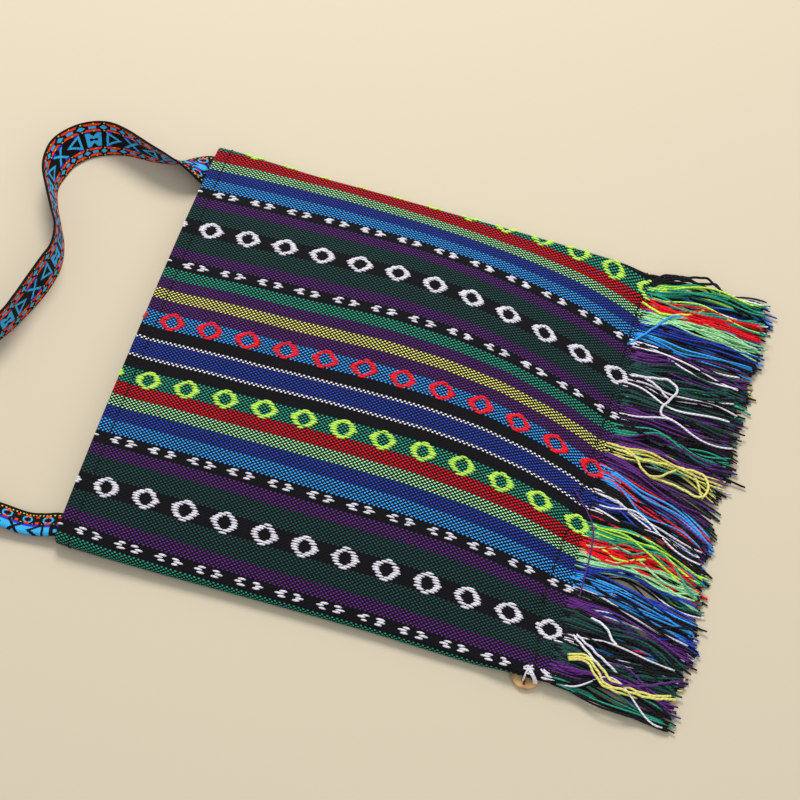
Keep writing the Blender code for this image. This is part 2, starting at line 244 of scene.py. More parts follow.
def body_loop(row, inset):
    """Points round the cloth tube at one section, from the side seam underneath over the top and back."""
    near, far, crown, fold, lift = row
    near, far = near * BODY_WIDTH, far * BODY_WIDTH
    crown, fold, lift = crown * PUFF, fold * PUFF, lift * LIFT
    radius = fold / 2
    small = max(radius - inset, 0.00005)
    middle, half = (near + far) / 2, (far - near) / 2 - radius
    inset = radius - small
    turn = np.linspace(-math.pi / 2, math.pi / 2, FOLD_STEPS, endpoint=False)
    turn = small * np.stack((np.cos(turn), np.sin(turn)), axis=-1)
    share = np.linspace(1, -1, TOP_STEPS, endpoint=False)
    share = np.sign(share) * (1 - (1 - np.abs(share)) ** 1.15)
    dome = fold - inset + (crown - fold) * (1 - np.abs(share) ** DOME_POWER)
    first = middle + half * np.linspace(SIDE_SEAM, 1, BOTTOM_STEPS, endpoint=False)
    last = middle + half * np.linspace(-1, SIDE_SEAM, 2 * BOTTOM_STEPS)
    loop = np.concatenate((
        np.insert(first[:, None], 1, inset, axis=1),
        (far - radius, radius) + turn,
        np.stack((middle + half * share, dome), axis=-1),
        (near + radius, radius) - turn,
        np.insert(last[:, None], 1, inset, axis=1),
    ))
    loop[:, 1] += cloth_lift(loop[:, 0], near, lift)
    return loop


TOP_START = BOTTOM_STEPS + FOLD_STEPS
TOP_END = TOP_START + TOP_STEPS


def stripe_coordinates(loop, rows):
    """Stripe coordinate in mm of a loop's points: by the rows on the top, by the way round elsewhere."""
    run = run_along(loop) * 1000
    top_y = loop[TOP_START:TOP_END, 0][::-1] * 1000
    top_run = run[TOP_START:TOP_END][::-1]
    first_run = np.interp(rows[0], top_y, top_run)
    last_run = np.interp(rows[-1], top_y, top_run)
    stripe = np.interp(loop[:, 0] * 1000, rows[::-1], ROW_STRIPES[::-1])
    stripe = np.where(run < first_run, (run - first_run) * FAR_SQUEEZE + ROW_STRIPES[0], stripe)
    return np.where(run > last_run, run - last_run + ROW_STRIPES[-1], stripe)


def mesh_object(name, points, faces, material, uv=None, colours=None):
    """Smooth object from points and faces, with an optional UV and colour for each point."""
    mesh = bpy.data.meshes.new(name)
    mesh.from_pydata(np.asarray(points, dtype=float).tolist(), [], faces)
    if uv is not None:
        loops = np.empty(len(mesh.loops), dtype=np.int32)
        mesh.loops.foreach_get("vertex_index", loops)
        layer = mesh.uv_layers.new(name="weave")
        layer.uv.foreach_set("vector", np.asarray(uv, dtype=np.float32)[loops].ravel())
    if colours is not None:
        layer = mesh.color_attributes.new("yarn_colour", "FLOAT_COLOR", "POINT")
        layer.data.foreach_set("color", np.asarray(colours, dtype=np.float32).ravel())
    mesh.shade_smooth()
    mesh.materials.append(material)
    item = bpy.data.objects.new(name, mesh)
    bpy.context.scene.collection.objects.link(item)
    return item


def grid_faces(rows, columns, closed=False, offset=0):
    """Quads of a grid of points, by rows; closed joins the last column to the first."""
    faces = []
    span = columns if closed else columns - 1
    for row in range(rows - 1):
        for column in range(span):
            after = (column + 1) % columns
            low, high = offset + row * columns, offset + (row + 1) * columns
            faces.append((low + column, low + after, high + after, high + column))
    return faces


def end_faces(rows, columns):
    """Faces over the first and the last row of a grid of rings."""
    last = (rows - 1) * columns
    return [tuple(range(columns - 1, -1, -1)), tuple(range(last, last + columns))]


BODY_STEPS = 190
# 1 over the top face of a loop and 0 at its folds and underneath
TOP_WEIGHT = np.zeros(3 * BOTTOM_STEPS + 2 * FOLD_STEPS + TOP_STEPS)
TOP_WEIGHT[TOP_START:TOP_END] = np.sin(np.linspace(0, math.pi, TOP_STEPS)) ** 0.35


def cloth_loop(x, section, inset=0.0):
    """Points of the tube at one place along, waves of the cloth included."""
    loop = body_loop(section, inset)
    loop[:, 1] += cloth_relief(np.full(len(loop), x), loop[:, 0]) * TOP_WEIGHT
    return loop


class ClothMap:
    """Places on the outer face of the cloth by share along and stripe coordinate."""

    def __init__(self):
        self.alongs = np.linspace(0, 1, BODY_STEPS)
        sections = table_at(SECTIONS, self.alongs)
        rows = table_at(ROW_DRIFT, self.alongs)
        xs = MOUTH_X + self.alongs * BODY_LENGTH
        self.loops = [cloth_loop(x, section) for x, section in zip(xs, sections)]
        self.stripes = [
            stripe_coordinates(body_loop(section, 0.0), row) for section, row in zip(sections, rows)
        ]

    def at(self, along, stripe):
        """Point on the cloth and the direction out of it."""
        place = min(max(along, 0.0), 1.0) * (len(self.alongs) - 1)
        index = min(int(place), len(self.alongs) - 2)
        mix = place - index
        spots = []
        for side, offset in itertools.product((index, index + 1), (0.0, 1.0)):
            spots.append(rows_at(stripe + offset, self.stripes[side], self.loops[side]))
        y, z = spots[0] * (1 - mix) + spots[2] * mix
        step = (spots[1] + spots[3]) / 2 - (spots[0] + spots[2]) / 2
        out = np.array((0.0, step[1], -step[0]))
        return np.array((MOUTH_X + along * BODY_LENGTH, y, z)), out / (np.linalg.norm(out) + 1e-12)


def build_cloth(material):
    """Cloth tube: the outer face with its rolled mouth edge, then down the inside to the bottom seam."""
    pocket_end = 1 - (SEAM_ALLOWANCE + 2 * CLOTH) / BODY_LENGTH
    stations = []
    for along in np.linspace(1, CLOTH / BODY_LENGTH, BODY_STEPS):
        stations.append((MOUTH_X + along * BODY_LENGTH, 0.0, along * BODY_LENGTH))
    for angle in np.linspace(0, math.pi, 9)[1:]:
        x = MOUTH_X + CLOTH * (1 - math.sin(angle))
        stations.append((x, CLOTH * (1 - math.cos(angle)), CLOTH * (1 - angle)))
    for depth in np.linspace(CLOTH, HEM_DEPTH, 6)[1:]:
        stations.append((MOUTH_X + depth, HEM_INNER, -depth))
    for depth in np.linspace(HEM_DEPTH + 0.0008, pocket_end * BODY_LENGTH, 40):
        stations.append((MOUTH_X + depth, CLOTH, -depth))
    alongs = np.array([(station[0] - MOUTH_X) / BODY_LENGTH for station in stations])
    sections = table_at(SECTIONS, alongs)
    rows = table_at(ROW_DRIFT, alongs)
    points, uv = [], []
    for (x, inset, run), section, row in zip(stations, sections, rows):
        loop = cloth_loop(x, section, inset)
        stripe = stripe_coordinates(body_loop(section, 0.0), row)
        points.append(np.insert(loop, 0, x, axis=1))
        uv.append(np.insert(stripe[:, None] * MM, 0, run, axis=1))
    count = len(points[0])
    faces = grid_faces(len(points), count) + end_faces(len(points), count)
    item = mesh_object("cloth_body", np.concatenate(points), faces, material, np.concatenate(uv))
    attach(item, BODY)
    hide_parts("bag_body")


def strands(name, paths, radii, colours, material, sides=6):
    """Joined tubes along paths of one length of points: radii by path and point, a colour by path."""
    paths = np.asarray(paths, dtype=np.float64)
    count, length = paths.shape[:2]
    radii = np.broadcast_to(np.asarray(radii, dtype=np.float64), (count, length))
    ahead = np.gradient(paths, axis=1)
    ahead /= np.linalg.norm(ahead, axis=2, keepdims=True) + 1e-12
    side = np.cross(np.array((0.0, 0.0, 1.0)), ahead)
    side /= np.linalg.norm(side, axis=2, keepdims=True) + 1e-12
    up = np.cross(ahead, side)
    angle = (np.arange(sides) * 2 * math.pi / sides)[:, None]
    ring = side[:, :, None] * np.cos(angle) + up[:, :, None] * np.sin(angle)
    points = paths[:, :, None] + ring * radii[:, :, None, None]
    faces = []
    tube = grid_faces(length, sides, closed=True) + end_faces(length, sides)
    for index in range(count):
        shift = index * length * sides
        faces.extend(tuple(shift + corner for corner in face) for face in tube)
    run = np.stack([run_along(path) for path in paths])
    uv = np.stack(np.broadcast_arrays(run[:, :, None], np.arange(sides) / sides), axis=-1).reshape(-1, 2)
    shades = np.repeat(np.asarray(colours), length * sides, axis=0)
    item = mesh_object(name, points.reshape(-1, 3), faces, material, uv, shades)
    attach(item, BODY)
    return item


def stripe_colour(stripe):
    """Colour of the stripe that a coordinate in mm lies in."""
    place = (stripe - STRIPES[0][0]) % STRIPE_REPEAT + STRIPES[0][0]
    colour = STRIPES[0][1]
    for start, shade in STRIPES:
        if place >= start:
            colour = shade
    return colour


def vary(colour, random, amount):
    """Colour made a little lighter or darker."""
    factor = 1 + random.uniform(-amount, amount)
    return (*(min(channel * factor, 1.0) for channel in colour[:3]), 1.0)


# Floats rise FLOAT_HIGH mm from ends that lie FLOAT_DEEP mm in the cloth. No yarn comes nearer to the floor
# than PRESSED mm
FLOAT_POINTS = 7
FLOAT_HIGH = 0.42
FLOAT_DEEP = 0.12
PRESSED = 0.3
REPEATS = (-1, 0, 1, 2)


def raised_path(cloth, alongs, stripes, heights):
    """Points at heights in mm out of the cloth, pressed up into it where the bag lies on its back."""
    path = []
    for along, stripe, height in zip(alongs, stripes, heights):
        point, out = cloth.at(along, stripe)
        point = point + out * height * MM
        point[2] = max(point[2], PRESSED * MM)
        path.append(point)
    return path


def diamond_floats():
    """Floats of one woven diamond as (offset across, start, end), in mm."""
    result = []
    for index, (start, end) in enumerate(DIAMOND_FLOATS):
        for across in sorted({index, -index}):
            result.append((across * FLOAT_PITCH, start, end))
            if start >= 0:
                result.append((across * FLOAT_PITCH, -end, -start))
    return result


def arrow_floats():
    """Floats of a pair of arrow heads that point at each other, as (offset across, start, end), in mm."""
    result = []
    for across, start, end in ARROW_FLOATS:
        result.append((across, ARROW_SHIFT - end, ARROW_SHIFT - start))
        result.append((across, start - ARROW_SHIFT, end - ARROW_SHIFT))
    return result


def float_rows():
    """Each raised float as (start, end, stripe, colour), in mm, those at the mouth cut by its edge."""
    motifs = [(diamond_floats(), row) for row in DIAMOND_ROWS] + [(arrow_floats(), row) for row in ARROW_ROWS]
    result = []
    for index, repeat in itertools.product(range(-1, 12), REPEATS):
        if index < 0 and repeat < 0:
            continue
        column = FIRST_COLUMN + COLUMN_PITCH * index + (FAR_SHIFT if repeat < 0 else 0)
        for floats, (middle, colour) in motifs:
            for across, start, end in floats:
                stripe = middle + repeat * STRIPE_REPEAT + across
                if column + end > 0.9:
                    result.append((max(column + start, 0.15), column + end, stripe, colour))
    return result


def build_floats(cloth, material):
    """Raised pattern yarns, each a short strand that dives into the cloth at both ends."""
    random = np.random.default_rng(7)
    low = max(stripes[0] for stripes in cloth.stripes)
    high = min(stripes[-1] for stripes in cloth.stripes)
    paths, radii, colours = [], [], []
    profile = np.linspace(-1, 1, FLOAT_POINTS)
    swell = 1 - np.abs(profile) ** 3
    heights = FLOAT_HIGH * swell - FLOAT_DEEP
    for start, end, stripe, colour in float_rows():
        if not (low + 1 < stripe < high - 2 and end < BODY_LENGTH * 1000 - 1):
            continue
        centre = (start + end) / 2 + random.normal(0, 0.22)
        half = (end - start) / 2 * (1.03 + random.normal(0, 0.09))
        slant = random.normal(-0.10, 0.07)
        shift = random.normal(0, 0.08)
        alongs = np.maximum(centre + profile * half, 0.1) * MM / BODY_LENGTH
        paths.append(raised_path(cloth, alongs, stripe + shift + profile * slant, heights))
        radii.append(FLOAT_RADIUS * MM * (0.34 + 0.66 * swell) * (1 + random.normal(0, 0.06)))
        colours.append(vary(colour, random, 0.08))
    item = strands("pattern_floats", paths, np.array(radii), colours, material)


# Fringe, the same sizes and locks as the solid: drift and reach of the tips as shares of FRINGE_LENGTH,
# arch and tip heights as shares of PUFF
FRINGE_LENGTH = 0.058
FRINGE_HEAD = 0.0024
LOCKS = np.array((
    # drift, reach, arch, tip
    (-0.10, 0.95, 0.30, 0.12), (-0.12, 0.93, 0.32, 0.12), (-0.06, 0.96, 0.26, 0.12),
    (-0.13, 0.86, 0.30, 0.13), (-0.22, 0.98, 0.28, 0.12), (-0.18, 1.00, 0.24, 0.12),
    (-0.16, 0.97, 0.26, 0.12), (-0.17, 0.94, 0.28, 0.12), (-0.20, 0.93, 0.33, 0.13),
    (-0.22, 0.95, 0.36, 0.14), (-0.27, 0.93, 0.34, 0.13), (-0.33, 0.91, 0.28, 0.12),
    (-0.38, 0.90, 0.24, 0.12), (-0.42, 0.92, 0.26, 0.12), (-0.30, 0.93, 0.30, 0.12),
    (-0.15, 0.95, 0.36, 0.13), (-0.08, 0.97, 0.40, 0.14), (-0.07, 0.96, 0.30, 0.12),
    (-0.06, 0.95, 0.26, 0.12), (-0.05, 0.96, 0.26, 0.12), (-0.05, 0.97, 0.28, 0.12),
    (-0.06, 0.96, 0.28, 0.12), (-0.08, 0.97, 0.32, 0.12), (-0.10, 0.98, 0.34, 0.13),
    (-0.09, 0.99, 0.36, 0.14), (-0.05, 0.98, 0.40, 0.14), (-0.02, 1.00, 0.42, 0.14),
    (-0.01, 0.99, 0.36, 0.13),
))
LOCK_DRIFT_POWER = 1.4
YARN_RADIUS = 0.00052
YARN_POINTS = 26
YARN_SIDES = 5
BUNDLE_WIDTH = 6.4
FILLER_YARNS = 180
STRAY_YARNS = 46
PATTERN_YARN_SHARE = 0.42
# Stripes between which a yarn belongs to the upper layer
UPPER_FROM = -24
UPPER_TO = 243
# Stray yarns that lie together, as (stripe, colour, number of yarns)
STRAY_GROUPS = (
    (-7, LIME, 3), (-7, TEAL, 4), (0, RED, 4), (8, LIGHT_GREEN, 9), (28, WHITE, 1), (54, WHITE, 1),
    (78, WHITE, 1), (126, WHITE, 1), (137, WHITE, 1), (150, LIME, 3), (150, TEAL, 3), (159, RED, 5),
    (167, LIGHT_GREEN, 12), (186, WHITE, 1), (212, WHITE, 1), (236, WHITE, 1),
)


def yarn_rows(cloth, random):
    """Warp ends at the end of the weave as (stripe, colour, stray): coloured, black and pattern yarns."""
    low, high = cloth.stripes[-1][0] + 1, cloth.stripes[-1][-1] - 1
    rows = []
    first = int(low / WARP_PITCH) + 1
    for index in range(first, int(high / WARP_PITCH)):
        stripe = (index + 0.5) * WARP_PITCH
        rows.append((stripe, stripe_colour(stripe)))
        if random.random() < 0.6:
            rows.append((stripe + WARP_PITCH / 2, BLACK))
    for stripe in random.uniform(low, high, FILLER_YARNS):
        is_black = random.random() < 0.5
        rows.append((stripe, BLACK if is_black else stripe_colour(stripe + random.normal(0, 12))))
    wide = FLOAT_PITCH * np.arange(-4, 5)
    narrow = [across for across, _, _ in ARROW_FLOATS]
    motifs = [(wide, row) for row in DIAMOND_ROWS] + [(narrow, row) for row in ARROW_ROWS]
    for repeat, (offsets, (middle, colour)) in itertools.product(REPEATS, motifs):
        for across in offsets:
            if random.random() < PATTERN_YARN_SHARE:
                rows.append((middle + repeat * STRIPE_REPEAT + across, colour))
    return [(stripe, colour, False) for stripe, colour in rows if low < stripe < high] + stray_rows(random)


def stray_rows(random):
    """Yarns that come out on top and wander most, as (stripe, colour, True)."""
    rows = []
    for stripe in random.uniform(-12, 236, STRAY_YARNS):
        rows.append((stripe, stripe_colour(stripe), True))
    for middle, colour, count in STRAY_GROUPS:
        for place in random.normal(0, 3.0, count):
            rows.append((middle + place, colour, True))
    return rows


def new_bundle(random):
    """How a group of neighbouring yarns lies: pulled together, bent to a side, waved, above others."""
    return {
        "pinch": random.uniform(0.1, 0.6),
        "lean": random.normal(0, 2.2) * MM,
        "sway": random.uniform(0.6, 2.8) * MM,
        "rate": random.uniform(0.5, 1.2),
        "phase": random.uniform(0, 1),
        "reach": random.normal(0, 0.02),
        "level": random.uniform(-0.14, 0.14),
        "middle": [],
    }


def fringe_yarn(root, middle_y, upper, stray, bundle, random):
    """Path of one yarn from its root in the weave to its tip, with small waves. Strays wander most."""
    near = SECTIONS[-1][1] * BODY_WIDTH
    far = SECTIONS[-1][2] * BODY_WIDTH
    cell = (root[1] - near) / (far - near) * len(LOCKS) - 0.5
    drift, reach, arch, tip = rows_at(cell, np.arange(len(LOCKS)), LOCKS)
    share = np.linspace(0, 1, YARN_POINTS)
    thick = SECTIONS[-1][4] * PUFF
    reach *= 1 + random.normal(-0.055, 0.026) + bundle["reach"] + (0.0 if upper else 0.05)
    swell = np.sin(math.pi * np.minimum(share * 1.1, 1.0) * 0.8)
    top = thick + (arch * PUFF - thick) * swell
    fall = smooth((share - 0.55) / 0.45)
    top = top * (1 - fall) + tip * PUFF * 1.3 * fall
    level = random.uniform(0.60, 1.0) if upper else random.uniform(0.10, 0.60)
    level = max(level + bundle["level"], 0.08) if not stray else random.uniform(1.0, 1.2)
    z = root[2] + (top * level - root[2]) * smooth(share * 3.2)
    x = root[0] + (WEAVE_END_X - root[0] + FRINGE_HEAD + reach * FRINGE_LENGTH) * share
    y = root[1] + drift * FRINGE_LENGTH * share ** LOCK_DRIFT_POWER
    pinch = bundle["pinch"] * (1.0 if upper else 0.3)
    pull = np.sin(math.pi * np.minimum(share * 0.85 + 0.05, 1.0)) * smooth(share * 3)
    y += (middle_y - root[1]) * pinch * pull
    y += bundle["lean"] * share ** 1.5
    turn = 2 * math.pi * (bundle["rate"] * share + bundle["phase"])
    y += bundle["sway"] * (np.sin(turn) - math.sin(turn[0])) * smooth(share * 2.5)
    wander = random.uniform(2.5, 5.0) if stray or random.random() < 0.12 else 1.0
    rate, phase = random.uniform(0.6, 1.7), random.uniform(0, 2 * math.pi)
    angle = 2 * math.pi * rate * share + phase
    wave = np.sin(angle) - math.sin(phase)
    y += random.normal(0, 0.55) * wander * MM * wave * smooth(share * 2)
    y += random.normal(0, 1.4) * MM * share ** 2.5
    x += random.normal(0, 0.4) * wander * MM * (np.cos(angle) - math.cos(phase)) * share
    z += (0.15 + 0.25 * (wander > 1)) * wander * MM * np.abs(wave) * share * (1 - share * 0.5)
    z = np.maximum(z, YARN_RADIUS * 1.05)
    return np.stack((x, y, z), axis=-1)


def build_fringe(cloth, material):
    """Warp ends of both layers of the cloth, loose beyond the weave, drawn together in uneven bundles."""
    random = np.random.default_rng(21)
    rows = yarn_rows(cloth, random)
    bundles = {}
    roots = []
    for stripe, colour, stray in rows:
        tail = random.uniform(0.0005, 0.0065)
        root, out = cloth.at(1 - tail / BODY_LENGTH, stripe)
        upper = UPPER_FROM < stripe < UPPER_TO
        root = root + out * (0.25 if upper else -0.1) * MM
        key = int((stripe + random.normal(0, 1.0)) // BUNDLE_WIDTH)
        if key not in bundles:
            bundles[key] = new_bundle(random)
        bundles[key]["middle"].append(root[1])
        roots.append((root, upper, stray, key, vary(colour, random, 0.22)))
    groups = {"fringe_upper": ([], []), "fringe_lower": ([], [])}
    for root, upper, stray, key, colour in roots:
        bundle = bundles[key]
        path = fringe_yarn(root, np.mean(bundle["middle"]), upper, stray, bundle, random)
        paths, colours = groups["fringe_upper" if upper else "fringe_lower"]
        paths.append(path)
        colours.append(colour)
    taper = np.ones(YARN_POINTS)
    taper[0] = 0.5
    taper[-1] = 0.8
    for name, (paths, colours) in groups.items():
        radii = YARN_RADIUS * random.normal(1.0, 0.08, (len(paths), 1)) * taper
        item = strands(name, paths, radii, colours, material, sides=YARN_SIDES)
        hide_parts("fringe")


# Loose yarns on top of the weave and the fringe: colour, share of YARN_RADIUS, then x and y in mm
LOOSE_YARNS = (
    (PURPLE, 0.7, ((110.5, -22), (119, -31), (125, -42), (126.5, -58), (126.5, -72), (126.5, -80))),
    (WHITE, 1.25, ((122, 50.5), (133.5, 51), (143, 51.5), (148.5, 46.5), (146, 40), (143, 35), (144, 31),
     (149.5, 30))),
    (WHITE, 1.1, ((131, 51), (136.5, 47.5), (142.5, 43), (146, 41))),
    (YELLOW, 1.2, ((127.5, 7), (138.5, 3.5), (149, 3), (161, 3), (170, 3), (174.5, -2.5), (171.5, -9.5),
     (159, -7), (145.5, -5))),
    (YELLOW, 1.2, ((128.5, 9), (136, 4), (141.5, -3), (148, -5.5), (154, -1.5), (160, 3.5), (167, 1),
     (171, -6), (173, -9))),
    (BLACK, 1.3, ((121.5, 109), (131, 115), (141.5, 117), (149.5, 118), (157, 113.5), (167, 109),
     (176.5, 106), (185, 102))),
    (BLACK, 1.5, ((122, 110.5), (129, 116), (140, 115), (149, 112.5), (158, 111), (168, 106.5),
     (178, 103))),
    (BLACK, 1.3, ((126.5, 111), (137, 112.5), (147.5, 112), (154.5, 109.5), (165, 106.5),
     (173.5, 101.5))),
    (BLACK, 1.4, ((122.5, 107.5), (131, 113.5), (138.5, 114.5), (148, 113.5), (155, 115.5), (163, 109),
     (172, 103.5))),
    (LIGHT_BLUE, 1.1, ((118, 69), (123, 74), (129.5, 82), (137, 90), (146.5, 91), (160, 89.5),
     (173, 89))),
    (RED, 1.2, ((123, -52), (135.5, -56.5), (145, -55), (153.5, -48.5), (161, -47), (169.5, -54),
     (176.5, -59))),
    (LIME, 1.15, ((130, -49), (140, -54), (147.5, -53), (155, -50), (162, -50.5), (168, -56),
     (174.5, -58))),
    (LIME, 1.2, ((120, 96.5), (132.5, 91), (147.5, 94), (153, 98.5), (159, 95), (166, 90))),
    (RED, 1.25, ((124, 98.5), (136, 93.5), (149, 96), (157, 98), (164, 92), (171, 90))),
    (YELLOW, 1.25, ((128.5, -110), (137, -108.5), (143.5, -113.5), (148, -118.5), (155.5, -119),
     (170, -118.5), (181.5, -115))),
    (YELLOW, 1.2, ((128, -108.5), (136, -107), (144.5, -111), (150, -116), (158.5, -117), (171, -117),
     (179, -114))),
    (YELLOW, 1.2, ((129, -111), (137, -110), (141.5, -114.5), (147, -119.5), (154, -120.5), (165, -120))),
    (PURPLE, 1.15, ((126, -115.5), (140.5, -115.5), (151.5, -117.5), (164, -114.5), (173.5, -110),
     (183, -105))),
    (WHITE, 1.15, ((134.5, -86.5), (141.5, -90), (146.5, -95.5), (149.5, -97.5))),
    (WHITE, 1.15, ((129.5, -96.5), (137.5, -102.5), (145.5, -107.5), (153, -111.5))),
    (WHITE, 1.1, ((128, -97), (134.5, -103.5), (141, -108.5), (146.5, -112.5))),
)
LOOSE_POINTS = 56
# Height of the upper side of weave and fringe, as (x, z) in m
FRINGE_TOP = (
    (0.106, 0.0086), (0.116, 0.0042), (0.126, 0.0044), (0.150, 0.0062), (0.170, 0.0048), (0.188, 0.0030),
)


def fringe_top(x, y):
    """Height in m of the upper side of weave and fringe, for loose yarns to lie on."""
    height = np.interp(x, *zip(*FRINGE_TOP))
    near = SECTIONS[-1][1] * BODY_WIDTH
    return height + cloth_lift(y, near, LIFT) * (1 - smooth((x - WEAVE_END_X) / 0.03))


def build_loose_yarns(material):
    """Single long yarns that lie in loops across the rest."""
    random = np.random.default_rng(5)
    paths, radii, colours = [], [], []
    for colour, width, spots in LOOSE_YARNS:
        route = spline_rows(spots, 12) * MM
        run = run_along(route)
        even = np.linspace(0, run[-1], LOOSE_POINTS)
        x, y = rows_at(even, run, route).T
        share = even / run[-1]
        wave = 0.5 + 0.5 * np.sin(share * math.pi * random.uniform(3, 5) + random.uniform(0, 3))
        rise = np.sin(math.pi * np.clip(share * 1.02, 0, 1)) ** 0.6
        z = fringe_top(x, y) + ((0.6 + 0.8 * wave) * rise - 1.2 * (1 - rise)) * MM
        y = y + 0.25 * MM * np.sin(even * 900 + random.uniform(0, 6)) * rise
        paths.append(np.stack((x, y, z), axis=-1))
        radii.append(np.full(LOOSE_POINTS, YARN_RADIUS * width))
        colours.append(vary(colour, random, 0.1))
    item = strands("loose_yarns", paths, np.array(radii), colours, material, sides=8)


THREAD_BLACK = srgb(10, 9, 12)
STITCH_POINTS = 5
STITCH_RADIUS = 0.00032
STITCH_HIGH = 0.30
STITCH_DIP = 0.42
# Pitch of the stitches in mm, and the share of it to each side of their middle
HEM_STITCH = 3.2
HEM_STITCH_HALF = 0.34
SEAM_STITCH = 2.6
SEAM_STITCH_HALF = 0.42
# Loop and share along near which the bottom seam runs
SEAM_LOOP = -8
SEAM_ALONG = 0.95


def build_stitches(cloth, material):
    """Dark machine stitches: round the hem of the mouth and along the bottom seam."""
    random = np.random.default_rng(3)
    profile = np.linspace(-1, 1, STITCH_POINTS)
    heights = STITCH_HIGH - STITCH_DIP * profile ** 4
    hem_alongs = np.full(STITCH_POINTS, HEM_LINE / BODY_LENGTH)
    hem, seam = cloth.stripes[0], cloth.stripes[SEAM_LOOP]
    paths = []
    for stripe in np.arange(hem[0] + 3, hem[-1] - 3, HEM_STITCH):
        places = stripe + profile * HEM_STITCH * HEM_STITCH_HALF
        paths.append(raised_path(cloth, hem_alongs, places, heights))
    for stripe in np.arange(seam[0] + 3, seam[-1] - 3, SEAM_STITCH):
        slant = random.normal(0.5, 0.3) * MM * profile
        places = stripe + profile * SEAM_STITCH * SEAM_STITCH_HALF
        y = np.array([cloth.at(SEAM_ALONG, place)[0][1] for place in places])
        paths.append(raised_path(cloth, (seam_line(y) + slant - MOUTH_X) / BODY_LENGTH, places, heights))
    item = strands("stitches", paths, STITCH_RADIUS, [THREAD_BLACK] * len(paths), material)


# Yarn that ties the button on, x, y and z in mm: legs over the fold, the knot and a small stitch beside it
TIE_YARNS = (
    ((113.4, -118.6, 6.6), (112.2, -120.4, 7.2), (111.3, -123.0, 6.9), (110.9, -125.0, 4.8),
     (110.6, -125.7, 2.7)),
    ((110.8, -119.4, 6.6), (111.7, -120.9, 7.5), (113.4, -122.9, 7.2), (115.4, -124.8, 5.2),
     (115.8, -125.6, 2.8)),
    ((111.5, -119.2, 6.7), (112.6, -120.9, 7.6), (114.4, -123.0, 7.1), (116.2, -124.8, 5.0),
     (116.5, -125.5, 2.7)),
    ((112.2, -119.8, 6.8), (113.4, -121.3, 7.4), (115.2, -123.4, 6.8), (116.9, -124.9, 4.6),
     (117.1, -125.5, 2.9)),
    ((109.6, -120.6, 6.7), (111.2, -120.0, 7.8), (112.6, -120.5, 7.9), (113.0, -121.6, 7.3),
     (112.0, -121.9, 7.2)),
    ((117.6, -119.4, 6.5), (118.6, -120.3, 6.9), (119.8, -121.0, 6.9), (120.9, -121.2, 6.4),
     (121.6, -121.0, 6.0)),
    ((118.9, -119.2, 6.5), (120.0, -119.9, 6.8), (121.0, -120.3, 6.7), (121.9, -120.4, 6.3),
     (122.6, -120.2, 5.9)),
)
TIE_RADIUS = 0.00044


def build_button_tie(material):
    """White yarn that holds the button to the near edge of the bag."""
    paths = [spline_rows(spots, 6) * MM for spots in TIE_YARNS]
    item = strands("button_tie", paths, TIE_RADIUS, [WHITE] * len(paths), material, sides=8)


# Ribbon strap, the same sizes and route as the solid
STRAP_WIDTH = 0.020
STRAP_THICK = 0.0012
FOLD_BEND = 2.67 * STRAP_THICK
# Way out of the mouth and to the side as shares of BODY_WIDTH, lean and curl in degrees, and how far the
# ribbon sits on the hem. Rows of three numbers have neither curl nor seat
STRAP_ROUTE = (
    (-0.056, 0.452, -180, 0, 1.0), (-0.020, 0.456, -180, 0, 1.0), (0.008, 0.458, -178, 0, 1.0),
    (0.040, 0.456, -150, 0, 0.4), (0.084, 0.450, -117), (0.135, 0.454, -99), (0.195, 0.465, -82),
    (0.251, 0.465, -60), (0.294, 0.446, -51), (0.322, 0.410, -53), (0.328, 0.370, -63), (0.324, 0.328, -76),
    (0.304, 0.285, -82), (0.274, 0.234, -84), (0.250, 0.192, -86), (0.238, 0.144, -84), (0.242, 0.103, -78),
    (0.251, 0.053, -78), (0.263, 0.004, -84), (0.279, -0.046, -89), (0.318, -0.108, -90),
    (0.400, -0.166, -90), (0.550, -0.180, -90), (0.735, -0.130, -90), (0.930, -0.088, -90),
    (1.125, -0.120, -88), (1.275, -0.240, -86), (1.338, -0.420, -86), (1.275, -0.600, -86),
    (1.125, -0.725, -86), (0.925, -0.760, -88), (0.715, -0.705, -88), (0.520, -0.590, -84),
    (0.370, -0.500, -66, 30, 0.0), (0.255, -0.463, -34, 90, 0.0), (0.145, -0.466, -12, 150, 0.0),
    (0.075, -0.470, -4, 168, 0.0), (0.032, -0.465, -1, 172, 0.5), (0.004, -0.459, 0, 172, 1.0),
    (-0.020, -0.457, 0, 172, 1.0), (-0.056, -0.455, 0, 172, 1.0),
)
ROUTE_STEPS = 16
STRAP_STEPS = 620
STRAP_CROSS = 10
SLOPE_RUN = 0.004
BACK_SHIFT = 0.1
EDGE_PLACES = np.array((1.0, 0.99))


def spline_rows(table, steps):
    """Rows of a table on a smooth curve through them, steps to each stretch."""
    table = np.array(table, dtype=float)
    padded = np.concatenate((table[:1], table, table[-1:]))
    result = []
    for place in range(steps * (len(table) - 1) + 1):
        index = min(place // steps, len(table) - 2)
        mix = place / steps - index
        before, start, end, after = padded[index:index + 4]
        slope_in, slope_out = (end - before) / 2, (after - start) / 2
        square, cube = mix ** 2, mix ** 3
        result.append(
            (2 * cube - 3 * square + 1) * start + (cube - 2 * square + mix) * slope_in
            + (3 * square - 2 * cube) * end + (cube - square) * slope_out
        )
    return np.array(result)


